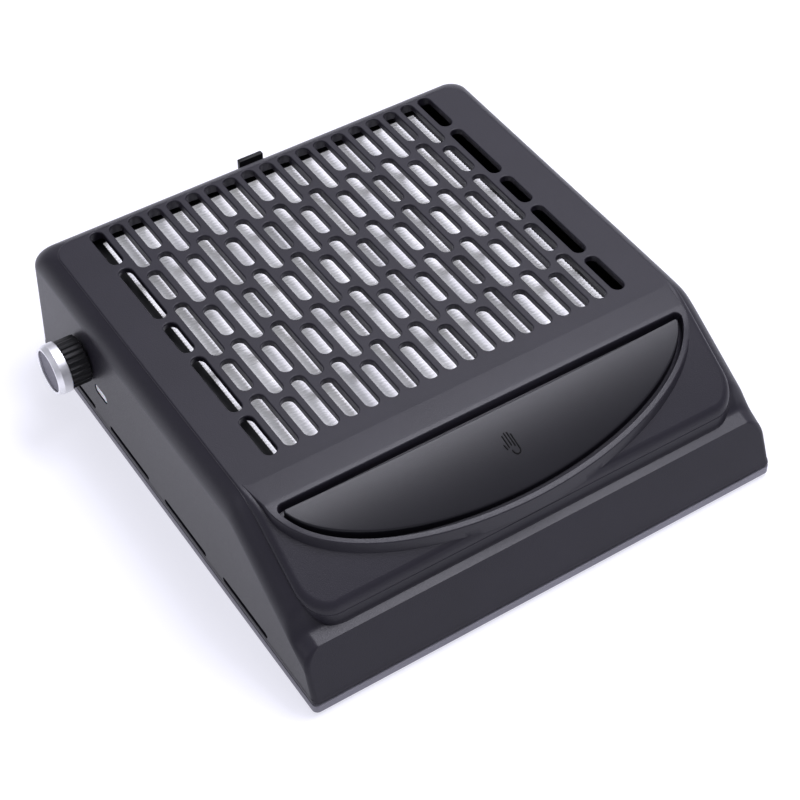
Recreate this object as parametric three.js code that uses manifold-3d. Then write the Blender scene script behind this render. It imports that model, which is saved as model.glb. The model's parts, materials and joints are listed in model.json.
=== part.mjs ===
// Nail dust collector: a desktop fan unit with a slotted top grille, a hand rest on its front slope,
// a slide-out pleated filter cartridge and a speed knob on the left side.
// Units are millimetres, +Z is up, +X is right and +Y is to the back of the unit.
// Everything is drawn about the middle of the housing, with z = 0 at the table,
// and the whole assembly is then shifted so that its box is centred on the origin.
import * as THREE from 'three';
import { mergeVertices } from 'three/addons/utils/BufferGeometryUtils.js';
import Module from 'manifold-3d';

const wasm = await Module();
wasm.setup();

// ---------------------------------------------------------------- driving dimensions
const slotPitch = 11;              // from one grille column to the next
const overallWidth = 265;          // at the base
const overallDepth = 279.4;        // at the base
const topHeight = 76;              // grille face above the table
const footStand = 1.5;             // feet standing out of the base
const wallThickness = 2.5;
const fitGap = 0.35;               // between pieces that touch
const wallDraft = Math.tan(THREE.MathUtils.degToRad(1.5));

// grille
const slotColumns = 19;
const slotWidth = 0.655 * slotPitch;
const longSlot = 3.77 * slotPitch;
const shortSlot = 2.1 * slotPitch;
const slotGap = 0.404 * slotPitch;
const slotFieldDepth = 16.235 * slotPitch;
const slotFieldBack = overallDepth / 2 - 14;
const slotFieldFront = slotFieldBack - slotFieldDepth;
const grilleThickness = 3.3;

// front slope: the top face turns down over a wide fold
const slopeAngle = THREE.MathUtils.degToRad(31);
const slopeFoldRadius = 42;
const slopeStart = -70.7;          // where the flat top and the slope would meet
const platformShift = 8.5;         // the platform is the same surface, moved this far forward

// The shoulder starts at a line just under the top face, with a slope of its own that begins
// further back. In front the line leads down to a ledge above the leaning front face.
const lineSink = 0.5;
const lineSlope = 0.6225;
const lineSlopeStart = -67;
const lineFold = 14;
const ledgeY = -128.4;
const ledgeZ = 33.5;
const ledgeTilt = Math.tan(THREE.MathUtils.degToRad(14));
const ledgeBack = -112.5;          // the line leaves the slope here
const ledgeFall = 9;               // and reaches the ledge this much further forward
const frontLean = 0.42;

// hand rest outline: the part of an ellipse in front of a straight back edge
const restCentreY = -77;
const platformCentreY = -76.2;
const platformBackY = -66;
const platformHalfWidth = 117.6;
const platformDepth = 46.2;
const platformSpread = 1.1;        // the foot of its edge stands this far out from the top
const platformEdge = 8;
const restBackY = -79;
const restHalfWidth = 114.4;
const restDepth = 42.7;
const restGap = 2;                 // at the ends of the rest
const restBackGap = 2.4;
const restFrontGap = 3.8;
const restSink = 0.7;              // the rest lies this far below the platform
const recessDepth = 6;
const recessCorner = 3.5;

// parting between housing and base
const baseBottom = footStand;
const baseBandTop = baseBottom + 4.8;
const housingBottom = baseBandTop + 1.3;

// filter cartridge
const mediaHalfWidth = 94.6;
const mediaFront = slotFieldFront - 1.2;
const mediaBack = slotFieldBack + 0.6;
const mediaTop = topHeight - 9.7;
const frameHalfWidth = 99;
const frameBottom = 47;
const frameTop = mediaTop + 0.2;
const pleatPitch = 0.2 * slotPitch;

// fan
const fanX = 0;
const fanY = (mediaFront + mediaBack) / 2;
const impellerRadius = 66;
const inletRadius = 50;
const bladeCount = 21;
const motorRadius = 18;

// side fittings
const knobY = slotFieldBack - 3.9 * slotPitch;
const knobZ = topHeight - 3.16 * slotPitch;
const knobRadius = 13.4;
const windowY = slotFieldBack - 5.5 * slotPitch;
const windowZ = topHeight - 4.2 * slotPitch;
const windowLength = 13.5;
const windowHeight = 5.6;
const ventLength = 3.75 * slotPitch;
const ventSpacing = 5.22 * slotPitch;
const ventHeight = 3.2;
const ventZ = topHeight - 5.82 * slotPitch;
const jackX = -100;
const jackZ = 21;

// ---------------------------------------------------------------- solids and geometry
function toSolid(geometry) {
  const bare = geometry.clone();
  bare.deleteAttribute('normal');
  bare.deleteAttribute('uv');
  const merged = mergeVertices(bare, 1e-4);
  return new wasm.Manifold(new wasm.Mesh({
    numProp: 3,
    vertProperties: new Float32Array(merged.attributes.position.array),
    triVerts: new Uint32Array(merged.index.array),
  }));
}

function toGeometry(solid) {
  const mesh = solid.getMesh();
  const geometry = new THREE.BufferGeometry();
  geometry.setAttribute('position', new THREE.BufferAttribute(mesh.vertProperties, 3));
  geometry.setIndex(new THREE.BufferAttribute(mesh.triVerts, 1));
  return geometry;
}

function join(solids) {
  return solids.reduce((all, next) => all.add(next));
}

function box(x0, x1, y0, y1, z0, z1) {
  const geometry = new THREE.BoxGeometry(x1 - x0, y1 - y0, z1 - z0);
  geometry.translate((x0 + x1) / 2, (y0 + y1) / 2, (z0 + z1) / 2);
  return toSolid(geometry);
}

// a round bar along Z
function bar(radius, z0, z1, x = 0, y = 0, segments = 24, topRadius = radius) {
  const geometry = new THREE.CylinderGeometry(topRadius, radius, z1 - z0, segments);
  geometry.rotateX(Math.PI / 2);
  geometry.translate(x, y, (z0 + z1) / 2);
  return toSolid(geometry);
}

// a round bar along X
function barAlongX(radius, x0, x1, y, z, segments = 24) {
  const geometry = new THREE.CylinderGeometry(radius, radius, x1 - x0, segments);
  geometry.rotateZ(Math.PI / 2);
  geometry.translate((x0 + x1) / 2, y, z);
  return toSolid(geometry);
}

// a round bar along Y
function barAlongY(radius, y0, y1, x, z, segments = 24) {
  const geometry = new THREE.CylinderGeometry(radius, radius, y1 - y0, segments);
  geometry.translate(x, (y0 + y1) / 2, z);
  return toSolid(geometry);
}

// shapes drawn in XY, extruded along Z
function extrude(shapes, z0, z1, curveSegments = 6) {
  const settings = { depth: z1 - z0, bevelEnabled: false, curveSegments };
  const geometry = new THREE.ExtrudeGeometry(shapes, settings);
  geometry.translate(0, 0, z0);
  return toSolid(geometry);
}

// shapes drawn with their height along X and their length along Y, extruded along X
function extrudeAlongX(shape, x0, x1, z, curveSegments) {
  const settings = { depth: x1 - x0, bevelEnabled: false, curveSegments };
  const geometry = new THREE.ExtrudeGeometry(shape, settings);
  geometry.rotateY(Math.PI / 2);
  geometry.translate(x0, 0, z);
  return toSolid(geometry);
}

// a section turned about Z; profile points are [radius, z]
function lathe(profile, segments) {
  const points = profile.map(([radius, z]) => new THREE.Vector2(radius, z));
  const geometry = new THREE.LatheGeometry(points, segments);
  geometry.rotateX(Math.PI / 2);
  return toSolid(geometry);
}

function slotShape(centreX, y0, y1, width) {
  const radius = width / 2;
  const shape = new THREE.Shape();
  shape.moveTo(centreX + radius, y0 + radius);
  shape.lineTo(centreX + radius, y1 - radius);
  shape.absarc(centreX, y1 - radius, radius, 0, Math.PI, false);
  shape.lineTo(centreX - radius, y0 + radius);
  shape.absarc(centreX, y0 + radius, radius, Math.PI, 2 * Math.PI, false);
  return shape;
}

function circleShape(radius, x = 0, y = 0) {
  return new THREE.Shape().absarc(x, y, radius, 0, 2 * Math.PI, false);
}

// a tube of the given radius along a smooth curve through the points
function tube(points, radius, steps) {
  const curve = new THREE.CatmullRomCurve3(points.map((p) => new THREE.Vector3(...p)));
  const section = circleShape(radius);
  const geometry = new THREE.ExtrudeGeometry(section, { steps, extrudePath: curve, curveSegments: 6 });
  return toSolid(geometry);
}

// ---------------------------------------------------------------- housing surfaces
// height of the top face at a depth y: flat, then a round fold, then the front slope
function topFace(y) {
  const reach = slopeFoldRadius * Math.tan(slopeAngle / 2);
  const foldBack = slopeStart + reach;
  const foldFront = slopeStart - reach * Math.cos(slopeAngle);
  if (y >= foldBack) return topHeight;
  if (y <= foldFront) return topHeight - (slopeStart - y) * Math.tan(slopeAngle);
  const along = foldBack - y;
  return topHeight - slopeFoldRadius + Math.sqrt(slopeFoldRadius ** 2 - along ** 2);
}

function platformFace(y) {
  return topFace(y + platformShift);
}

function lineFace(y) {
  const past = lineSlopeStart - y;
  return topHeight - lineSink - (lineSlope * (past + Math.sqrt(past ** 2 + lineFold))) / 2;
}

function ledgeFace(y) {
  return ledgeZ + (y - ledgeY) * ledgeTilt;
}

// height at which the shoulder starts: along the line, then down to the ledge
function shoulderTop(y) {
  const { clamp, lerp, smoothstep } = THREE.MathUtils;
  const share = smoothstep(clamp(ledgeBack - y, 0, ledgeFall), 0, ledgeFall);
  return lerp(lineFace(y), ledgeFace(y), share);
}

function frontPlane(z) {
  return -overallDepth / 2 + 0.5 + frontLean * (z - housingBottom);
}

// depth stations shared by the rings, so that the skin follows the fold
const foldStations = [20, -50, -60, -64, -68, -73, -79, -85, -95, -105];
const ledgeStations = [...foldStations, -112.5, -115.5, -118.5, -121.5];

// One ring of the housing: a rounded rectangle in plan, listed from the back to the front on the
// right and mirrored on the left, so that each pair of points can carry a rung of a cap.
// height(y, frontness) gives z, where frontness runs from 0 on the sides to 1 on the front.
const cornerSteps = 5;
function ring({ halfWidth, back, front, backCorner, frontCorner, height, stations = foldStations }) {
  const right = [];
  for (let i = 0; i <= cornerSteps; i += 1) {
    const angle = (Math.PI / 2) * (1 - i / cornerSteps);
    const x = halfWidth - backCorner + backCorner * Math.cos(angle);
    const y = back - backCorner + backCorner * Math.sin(angle);
    right.push([x, y, height(y, 0)]);
  }
  for (const y of stations) right.push([halfWidth, y, height(y, 0)]);
  for (let i = 0; i <= cornerSteps; i += 1) {
    const angle = (Math.PI / 2) * (i / cornerSteps);
    const x = halfWidth - frontCorner + frontCorner * Math.cos(angle);
    const y = front + frontCorner - frontCorner * Math.sin(angle);
    right.push([x, y, height(y, Math.sin(angle) ** 2)]);
  }
  const drafted = right.map(([x, y, z]) => {
    const inset = (z - baseBottom) * wallDraft;
    return [x - inset, y > 0 ? y - (inset * y) / back : y, z];
  });
  return drafted.concat(drafted.map(([x, y, z]) => [-x, y, z]));
}

// the closed skin through a stack of rings, lowest first, with a cap of rungs at each end
function loft(rings) {
  const count = rings[0].length;
  const half = count / 2;
  const order = [...Array(half).keys(), ...[...Array(half).keys()].reverse().map((i) => i + half)];
  const positions = rings.flat(2);
  const triangles = [];
  const quad = (a, b, c, d) => triangles.push(a, b, c, a, c, d);
  for (let level = 0; level < rings.length - 1; level += 1) {
    for (let i = 0; i < count; i += 1) {
      const a = order[i];
      const b = order[(i + 1) % count];
      const low = level * count;
      const high = low + count;
      quad(low + b, low + a, high + a, high + b);
    }
  }
  const last = (rings.length - 1) * count;
  for (let i = 0; i < half - 1; i += 1) {
    quad(i, i + 1, i + 1 + half, i + half);
    quad(last + i + 1, last + i, last + i + half, last + i + 1 + half);
  }
  const geometry = new THREE.BufferGeometry();
  geometry.setAttribute('position', new THREE.Float32BufferAttribute(positions, 3));
  geometry.setIndex(triangles);
  return toSolid(geometry);
}

// outlines of the housing where the plateau starts and where the rounded shoulder ends
const plateauLine = { halfWidth: 124, back: 129, front: -122.7, backCorner: 10.5, frontCorner: 15 };
const shoulderStart = { halfWidth: 124, back: 129, backCorner: 10.5, frontCorner: 0.8 };
const shoulderFoot = {
  halfWidth: overallWidth / 2, back: overallDepth / 2, backCorner: 8.5, frontCorner: 2.6,
};
const shoulderDrop = 12.7;

// a ring whose front lies on the leaning front face
function wallRing(spec, height) {
  let front = ledgeY;
  const rounds = 6;
  for (let i = 0; i < rounds; i += 1) front = frontPlane(height(front));
  return ring({ ...spec, front, height, stations: ledgeStations });
}

// The shoulder is rounded between its foot, at 90 degrees, and the plateau line.
const shoulderAngles = [90, 70, 54, 39, 25];
function shoulderRing(angle) {
  const { degToRad, lerp } = THREE.MathUtils;
  const start = degToRad(shoulderAngles.at(-1));
  const outward = (Math.sin(angle) - Math.sin(start)) / (1 - Math.sin(start));
  const downward = (Math.cos(start) - Math.cos(angle)) / Math.cos(start);
  const spec = {};
  for (const key of Object.keys(shoulderStart)) {
    spec[key] = lerp(shoulderStart[key], shoulderFoot[key], outward);
  }
  return wallRing(spec, (y) => lerp(shoulderTop(y), lineFace(y) - shoulderDrop, downward));
}

// the plateau with its step at the line, and the steep band that leads from it down to the ledge
function plateauBlock() {
  const step = 1.2;
  const foot = {
    ...plateauLine, front: plateauLine.front - 1.6, frontCorner: 17,
    height: (y, frontness) => THREE.MathUtils.lerp(lineFace(y) - 2.5, ledgeFace(y) - 1, frontness),
  };
  const line = { ...plateauLine, height: (y) => Math.min(lineFace(y) + 0.1, topFace(y) - 0.2) };
  const top = {
    ...plateauLine, halfWidth: plateauLine.halfWidth - step, back: plateauLine.back - step,
    front: plateauLine.front + 3.4, frontCorner: 12, height: (y) => topFace(y),
  };
  return loft([ring(foot), ring(line), ring(top)]);
}

function housingOuter() {
  const rings = [wallRing(shoulderFoot, () => housingBottom)];
  for (const degrees of shoulderAngles) {
    rings.push(shoulderRing(THREE.MathUtils.degToRad(degrees)));
  }
  return loft(rings).add(plateauBlock());
}

// the space inside: thin over the grille, thicker under the slope, where the hand rest is let in
function cavityTop(y) {
  const { clamp, lerp } = THREE.MathUtils;
  const thickening = { start: -58, length: 16 };
  const underSlope = clamp((thickening.start - y) / thickening.length, 0, 1);
  const underTop = topFace(y) - lerp(grilleThickness, recessDepth + 0.6, underSlope);
  const lowering = { start: -108, length: 10 };
  const underLedge = clamp((lowering.start - y) / lowering.length, 0, 1);
  return lerp(underTop, ledgeFace(y) - wallThickness, underLedge);
}

function housingCavity() {
  const inside = (spec, front, height) => ring({
    ...spec,
    halfWidth: spec.halfWidth - wallThickness,
    back: spec.back - wallThickness,
    front: front + wallThickness,
    backCorner: 7,
    frontCorner: 3,
    height,
    stations: ledgeStations,
  });
  const narrowing = 10;            // the height over which the space narrows towards its ceiling
  const frontTop = ledgeZ - wallThickness - narrowing;
  return loft([
    inside(shoulderFoot, frontPlane(0), () => 0),
    inside(shoulderFoot, frontPlane(frontTop), (y) => cavityTop(y) - narrowing),
    inside(plateauLine, ledgeY + 2, (y) => cavityTop(y)),
  ]);
}

// ---------------------------------------------------------------- hand rest outline
// A lens-shaped block between two surfaces that depend only on y. Its outline is the front of an
// ellipse, closed by a straight edge at backY with round corners; spread makes the foot larger.
const arcSteps = 12;
const lensCornerSteps = 3;
function lens({ halfWidth, depth, centreY, backY, foot, head, corner = 0, spread = 0 }) {
  const layer = (grow, surface) => {
    const width = halfWidth + grow;
    const reach = depth + grow;
    const startAngle = Math.asin(Math.max(centreY - backY + corner, 0) / reach);
    const side = width * Math.cos(startAngle);
    const outline = backY > centreY ? [[width, backY]] : [];
    for (let i = 0; corner > 0 && i < lensCornerSteps; i += 1) {
      const angle = (Math.PI / 2) * (1 - i / lensCornerSteps);
      outline.push([side - corner + corner * Math.cos(angle), backY - corner + corner * Math.sin(angle)]);
    }
    for (let i = 0; i <= arcSteps; i += 1) {
      const angle = startAngle + (Math.PI / 2 - startAngle) * (i / (arcSteps + 0.5));
      outline.push([width * Math.cos(angle), centreY - reach * Math.sin(angle)]);
    }
    const right = outline.map(([x, y]) => [x, y, surface(y)]);
    return right.concat(right.map(([x, y, z]) => [-x, y, z]));
  };
  return loft([layer(spread, foot), layer(0, head)]);
}

// the raised platform round the hand rest, with a steep edge down to the slope
function restPlatform() {
  return lens({
    halfWidth: platformHalfWidth, depth: platformDepth, centreY: platformCentreY, backY: platformBackY,
    foot: (y) => platformFace(y) - platformEdge, head: platformFace, spread: platformSpread,
  });
}

function restRecess() {
  return lens({
    halfWidth: restHalfWidth, depth: restDepth, centreY: restCentreY, backY: restBackY,
    corner: recessCorner,
    foot: (y) => platformFace(y) - recessDepth, head: (y) => platformFace(y) + recessDepth,
  });
}

function handRestInsert() {
  return lens({
    halfWidth: restHalfWidth - restGap, depth: restDepth - restFrontGap, centreY: restCentreY,
    backY: restBackY - restBackGap,
    corner: recessCorner - restGap / 2,
    foot: (y) => platformFace(y) - recessDepth + fitGap, head: (y) => platformFace(y) - restSink,
  });
}

// ---------------------------------------------------------------- top housing
function columnX(index) {
  return (index - (slotColumns - 1) / 2) * slotPitch;
}

function grilleSlots() {
  const longEnd = (slotFieldDepth - longSlot - 2 * shortSlot - 4 * slotGap) / 2;
  const shortEnd = (slotFieldDepth - 2 * longSlot - shortSlot - 4 * slotGap) / 2;
  const shapes = [];
  for (let column = 0; column < slotColumns; column += 1) {
    const lengths = column % 2 === 0
      ? [shortEnd, longSlot, shortSlot, longSlot, shortEnd]
      : [longEnd, shortSlot, longSlot, shortSlot, longEnd];
    let y = slotFieldBack;
    for (const length of lengths) {
      shapes.push(slotShape(columnX(column), y - length, y, slotWidth));
      y -= length + slotGap;
    }
  }
  return extrude(shapes, topHeight - 12, topHeight + 5, 3);
}

function grilleRibs() {
  const ribHalf = 0.9;
  const front = slotFieldFront - 4;
  const back = slotFieldBack + 2;
  const ribs = [];
  for (let column = 1; column < slotColumns - 1; column += 3) {
    const x = columnX(column) + slotPitch / 2;
    ribs.push(box(x - ribHalf, x + ribHalf, front, back, topHeight - 7, topHeight - 2));
  }
  return join(ribs);
}

const bossPlaces = [[116, 104], [-116, 104], [116, -92], [-116, -92]];

function sideVents() {
  const depth = 10;
  const vents = [];
  for (let i = 0; i < 4; i += 1) {
    const front = slotFieldBack - 20.31 * slotPitch + i * ventSpacing;
    const shape = slotShape(0, front, front + ventLength, ventHeight);
    for (const x of [-overallWidth / 2 - 1, overallWidth / 2 + 1 - depth]) {
      vents.push(extrudeAlongX(shape, x, x + depth, ventZ, 3));
    }
  }
  return join(vents);
}

function signalWindow(x0, x1, trim) {
  const reach = windowLength / 2 - trim;
  const shape = slotShape(0, windowY - reach, windowY + reach, windowHeight - 2 * trim);
  return extrudeAlongX(shape, x0, x1, windowZ, 5);
}

const knobWallX = -(overallWidth / 2 - (knobZ - baseBottom) * wallDraft);
const tabHalfWidth = 7.2;
const latchRootY = 131.4;          // the line where the latch's tongue bends

function topHousing() {
  const outer = housingOuter().add(restPlatform());
  const bosses = bossPlaces.map(([x, y]) => bar(4.2, housingBottom + 3.4, topHeight, x, y, 12));
  const trayBossFoot = trayFloor + trayThickness + fitGap;
  const trayBosses = trayEars.map(([x, y]) => bar(3.8, trayBossFoot, topHeight, x, y, 12));
  const inside = join([...bosses, ...trayBosses, grilleRibs()]).intersect(outer);
  const bossHoles = [
    ...bossPlaces.map(([x, y]) => bar(1.9, housingBottom, 24, x, y, 10)),
    ...trayEars.map(([x, y]) => bar(1.9, trayFloor, trayFloor + 9, x, y, 10)),
  ];
  const doorHalf = frameHalfWidth + 1.4;
  const tabSlotHalf = tabHalfWidth + 0.6;
  const openings = join([
    grilleSlots(),
    restRecess(),
    sideVents(),
    signalWindow(-overallWidth / 2 - 5, -120, 0),
    barAlongX(4, -overallWidth / 2 - 5, -120, knobY, knobZ, 20),
    barAlongY(5.8, 120, overallDepth / 2 + 5, jackX, jackZ, 20),
    box(-doorHalf, doorHalf, 124, 150, frameBottom - 0.4, frameTop + 0.4),
    box(-tabSlotHalf, tabSlotHalf, latchRootY, 150, frameTop - 1, topHeight - 4.4),
    ...bossHoles,
  ]);
  return outer.subtract(housingCavity()).add(inside).subtract(openings);
}

// ---------------------------------------------------------------- base
const footRadius = 8;
const footLetIn = 1.15;            // how far a foot is let into the base
const footPlaces = [[112, 118], [-112, 118], [112, -118], [-112, -118]];
const motorScrewPlaces = [90, 210, 330].map((degrees) => {
  const angle = THREE.MathUtils.degToRad(degrees);
  return [fanX + 28 * Math.cos(angle), fanY + 28 * Math.sin(angle)];
});

function baseOutline(inset, z, frontCorner, frontInset = inset) {
  return ring({
    halfWidth: overallWidth / 2 - inset,
    back: overallDepth / 2 - inset,
    front: -overallDepth / 2 + frontInset,
    backCorner: shoulderFoot.backCorner - inset,
    frontCorner,
    height: () => z,
    stations: [],
  });
}

function baseTray() {
  const floor = baseBottom + 2.6;
  const lipTop = housingBottom + 2.4;
  const lipInset = wallThickness + 0.45;
  const lipFront = lipInset + 2;
  const lipWall = 1.7;
  const shell = loft([
    baseOutline(0.6, baseBottom, 2.2),
    baseOutline(0, baseBottom + 0.6, 2.8),
    baseOutline(0, baseBandTop, 2.8),
  ]);
  const lip = loft([
    baseOutline(lipInset, baseBottom + 1, 2, lipFront),
    baseOutline(lipInset, lipTop, 2, lipFront),
  ]);
  const hollow = loft([
    baseOutline(lipInset + lipWall, floor, 2, lipFront + lipWall),
    baseOutline(lipInset + lipWall, lipTop + 1, 2, lipFront + lipWall),
  ]);
  const screwPosts = bossPlaces.map(([x, y]) => bar(5.4, baseBottom + 0.5, lipTop + 0.6, x, y, 16));
  const motorPosts = motorScrewPlaces.map(([x, y]) => bar(4, floor - 1, 9, x, y, 12));
  const cuts = join([
    ...bossPlaces.map(([x, y]) => bar(3.6, 0, baseBottom + 2.8, x, y, 16)),
    ...bossPlaces.map(([x, y]) => bar(1.9, 0, 20, x, y, 10)),
    ...footPlaces.map(([x, y]) => bar(footRadius + 0.4, 0, baseBottom + footLetIn + fitGap, x, y, 24)),
    ...motorScrewPlaces.map(([x, y]) => bar(1.5, floor - 1.4, 20, x, y, 10)),
  ]);
  return shell.add(lip).subtract(hollow).add(join([...screwPosts, ...motorPosts])).subtract(cuts);
}

function foot() {
  const top = footStand + footLetIn;
  return lathe([
    [0, 0], [footRadius - 1.6, 0], [footRadius - 0.6, 0.9], [footRadius, 1.1], [footRadius, top], [0, top],
  ], 16);
}

// ---------------------------------------------------------------- screws
// a pan-head screw with a cross slot, head down at z = 0, shank pointing up
function screw(headRadius, headHeight, shankRadius, length) {
  const body = lathe([
    [0, 0], [headRadius * 0.7, 0], [headRadius, headHeight * 0.6], [headRadius, headHeight],
    [shankRadius, headHeight], [shankRadius, length - 1], [0, length],
  ], 8);
  const arm = headRadius * 0.6;
  const blade = 0.35;
  const cross = box(-arm, arm, -blade, blade, -1, 0.8).add(box(-blade, blade, -arm, arm, -1, 0.8));
  return body.subtract(cross);
}

// ---------------------------------------------------------------- filter cartridge
function filterFrame() {
  const inner = mediaHalfWidth + fitGap;
  const wall = frameHalfWidth - inner;
  const front = mediaFront - fitGap - wall;
  const back = mediaBack + fitGap + wall;
  const face = overallDepth / 2 - 1.2;
  const plateHalf = frameHalfWidth + 0.8;
  const rim = box(-frameHalfWidth, frameHalfWidth, front, back, frameBottom, frameTop)
    .subtract(box(-inner, inner, mediaFront - fitGap, mediaBack + fitGap, 0, 100));
  const barHalf = 1.2;
  const barTop = frameBottom + 1.8;
  const bars = [];
  for (const x of [-68, -34, 0, 34, 68]) {
    bars.push(box(x - barHalf, x + barHalf, front + 1, back - 1, frameBottom, barTop));
  }
  for (let i = 0; i < 4; i += 1) {
    const y = mediaFront + ((i + 0.5) / 4) * (mediaBack - mediaFront);
    bars.push(box(-inner - 1, inner + 1, y - barHalf, y + barHalf, frameBottom, barTop));
  }
  const facePlate = box(-plateHalf, plateHalf, back - 1, face, frameBottom, frameTop);
  const pull = box(-16, 16, face - 2.8, face + 5, frameBottom + 4, frameBottom + 9);
  const seatHalf = tabHalfWidth + 0.6;
  const latchSeat = box(-seatHalf, seatHalf, latchRootY - 0.4, face + 10, frameTop - 4.2, topHeight);
  return join([rim, facePlate, ...bars]).subtract(pull).subtract(latchSeat);
}

// pleats run along X; the section is a zigzag band
function filterMedia() {
  const count = Math.round((mediaBack - mediaFront) / pleatPitch);
  const bottom = frameBottom + 2.3;
  const shape = new THREE.Shape();
  const y = (i) => mediaFront + (i / (2 * count)) * (mediaBack - mediaFront);
  const dip = 1.4;
  shape.moveTo(y(0), bottom);
  for (let i = 1; i <= 2 * count; i += 1) shape.lineTo(y(i), bottom + (i % 2 ? dip : 0));
  for (let i = 2 * count; i >= 0; i -= 1) shape.lineTo(y(i), mediaTop - (i % 2 ? 0 : dip));
  const geometry = new THREE.ExtrudeGeometry(shape, { depth: 2 * mediaHalfWidth, bevelEnabled: false });
  geometry.rotateX(Math.PI / 2);
  geometry.rotateZ(Math.PI / 2);
  geometry.translate(-mediaHalfWidth, 0, 0);
  return toSolid(geometry);
}

// a spring tongue on the cartridge's face, with an upturned thumb tab that hooks the housing
function filterLatch() {
  const bottom = frameTop - 2.2;
  const end = overallDepth / 2 + 1.5;
  const hookHalf = tabHalfWidth - 1.5;
  const tongue = box(-tabHalfWidth, tabHalfWidth, latchRootY, end, bottom, frameTop + 0.6);
  const tab = box(-tabHalfWidth, tabHalfWidth, end - 2.6, end, bottom, topHeight - 5.2);
  const hook = box(-hookHalf, hookHalf, latchRootY + 3.2, latchRootY + 5.2, frameTop, frameTop + 2);
  return join([tongue, tab, hook]);
}

function filterSeal() {
  const outer = frameHalfWidth - 0.6;
  const wall = 3.6;
  const front = mediaFront - 4;
  const back = mediaBack + 3.6;
  return box(-outer, outer, front, back, frameBottom - 1.5, frameBottom - 0.3)
    .subtract(box(-outer + wall, outer - wall, front + wall, back - wall, 0, 100));
}

// ---------------------------------------------------------------- filter tray, guard and fan
const trayFloor = frameBottom - 3.6;
const trayThickness = 1.8;
const trayEars = [[106.5, 100], [-106.5, 100], [106.5, -40], [-106.5, -40]];

function filterTray() {
  const side = frameHalfWidth + 1.2;
  const front = mediaFront - 6.2;
  const back = 130;
  const floorTop = trayFloor + trayThickness;
  const floor = box(-side - 2, side + 2, front - 2, back, trayFloor, floorTop);
  const walls = [
    box(side, side + 2, front - 2, back, trayFloor, frameTop - 1),
    box(-side - 2, -side, front - 2, back, trayFloor, frameTop - 1),
    box(-side - 2, side + 2, front - 2, front, trayFloor, frameTop - 1),
  ];
  const ears = trayEars.map(([x, y]) => box(x - 5, x + 5, y - 5, y + 5, trayFloor, floorTop));
  const mouth = lathe([
    [inletRadius + 1.6, trayFloor - 2.6], [inletRadius + 3.2, trayFloor - 2.6],
    [inletRadius + 4.4, trayFloor + 0.6], [inletRadius + 1.6, trayFloor + 0.6],
    [inletRadius + 1.6, trayFloor - 2.6],
  ], 40).translate([fanX, fanY, 0]);
  const holes = join([
    bar(inletRadius + 1.6, 0, 100, fanX, fanY, 40),
    ...trayEars.map(([x, y]) => bar(1.9, 0, 100, x, y, 10)),
  ]);
  return join([floor, ...walls, ...ears, mouth]).subtract(holes);
}

function fanGuard() {
  const z0 = trayFloor + 0.3;
  const z1 = trayFloor + 1.8;
  const rings = [14, 31, inletRadius + 1.1].map((radius) => (
    bar(radius, z0, z1, 0, 0, 24).subtract(bar(radius - 2, 0, 100, 0, 0, 24))
  ));
  const spokes = [0, 60, 120].map((degrees) => (
    box(-inletRadius, inletRadius, -1, 1, z0, z1).rotate([0, 0, degrees])
  ));
  return join([...rings, ...spokes]);
}

const impellerBottom = 14;
const impellerTop = 39.4;

function impeller() {
  const cupRadius = motorRadius + 3;
  const wheel = lathe([
    [0, 34.4], [motorRadius + 1, 34.4], [motorRadius + 1, impellerBottom], [impellerRadius, impellerBottom],
    [impellerRadius, impellerBottom + 1.8], [cupRadius + 6, impellerBottom + 1.8], [cupRadius, 22],
    [cupRadius, 35.5], [cupRadius - 3, 37.2], [0, 37.2],
  ], 28);
  const shaftHole = bar(1.9, 30, 36, 0, 0, 12);
  const rim = bar(impellerRadius, impellerTop - 1.8, impellerTop, 0, 0, 28)
    .subtract(bar(impellerRadius - 12, 0, 100, 0, 0, 28));
  const blades = [];
  for (let i = 0; i < bladeCount; i += 1) {
    const blade = new THREE.Shape();
    blade.absarc(0, 0, 20, THREE.MathUtils.degToRad(-42), THREE.MathUtils.degToRad(38), false);
    blade.absarc(0, 0, 18.4, THREE.MathUtils.degToRad(38), THREE.MathUtils.degToRad(-42), true);
    const turned = extrude(blade, impellerBottom + 1, impellerTop - 1, 3)
      .rotate([0, 0, 62])
      .translate([impellerRadius - 20, -16, 0])
      .rotate([0, 0, (360 * i) / bladeCount]);
    blades.push(turned);
  }
  const trim = bar(impellerRadius - 0.4, impellerBottom, impellerTop, 0, 0, 28);
  return join([wheel, rim, join(blades).intersect(trim)]).subtract(shaftHole);
}

function motorShaft() {
  return bar(1.5, 31.6, 35.7, 0, 0, 12);
}

function motorCan() {
  return lathe([
    [0, 15.2], [motorRadius, 15.2], [motorRadius, 29], [motorRadius - 1.5, 30.6],
    [5, 30.6], [5, 31.9], [2.2, 31.9], [2.2, 31.3], [0, 31.3],
  ], 24);
}

function motorEndCap() {
  const cap = lathe([[0, 12], [motorRadius - 1, 12], [motorRadius - 1, 14.9], [0, 14.9]], 32);
  const terminals = box(-9, -6, -1, 1, 10.6, 13).add(box(6, 9, -1, 1, 10.6, 13));
  return cap.add(terminals);
}

function motorBracket() {
  const plate = bar(26, 9.3, 11.3, fanX, fanY, 24);
  const arms = motorScrewPlaces.map(([x, y]) => bar(5.4, 9.3, 11.3, x, y, 16));
  const collar = bar(motorRadius + 2.6, 11, 13.4, fanX, fanY, 24)
    .subtract(bar(motorRadius + 0.4, 0, 100, fanX, fanY, 24));
  const holes = [
    bar(12, 0, 100, fanX, fanY, 16),
    ...motorScrewPlaces.map(([x, y]) => bar(1.7, 0, 100, x, y, 10)),
  ];
  const arches = motorScrewPlaces.map(([x, y]) => bar(3.4, 11.3, 20, x, y, 10));
  return join([plate, ...arms, collar]).subtract(join([...holes, ...arches]));
}

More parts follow.
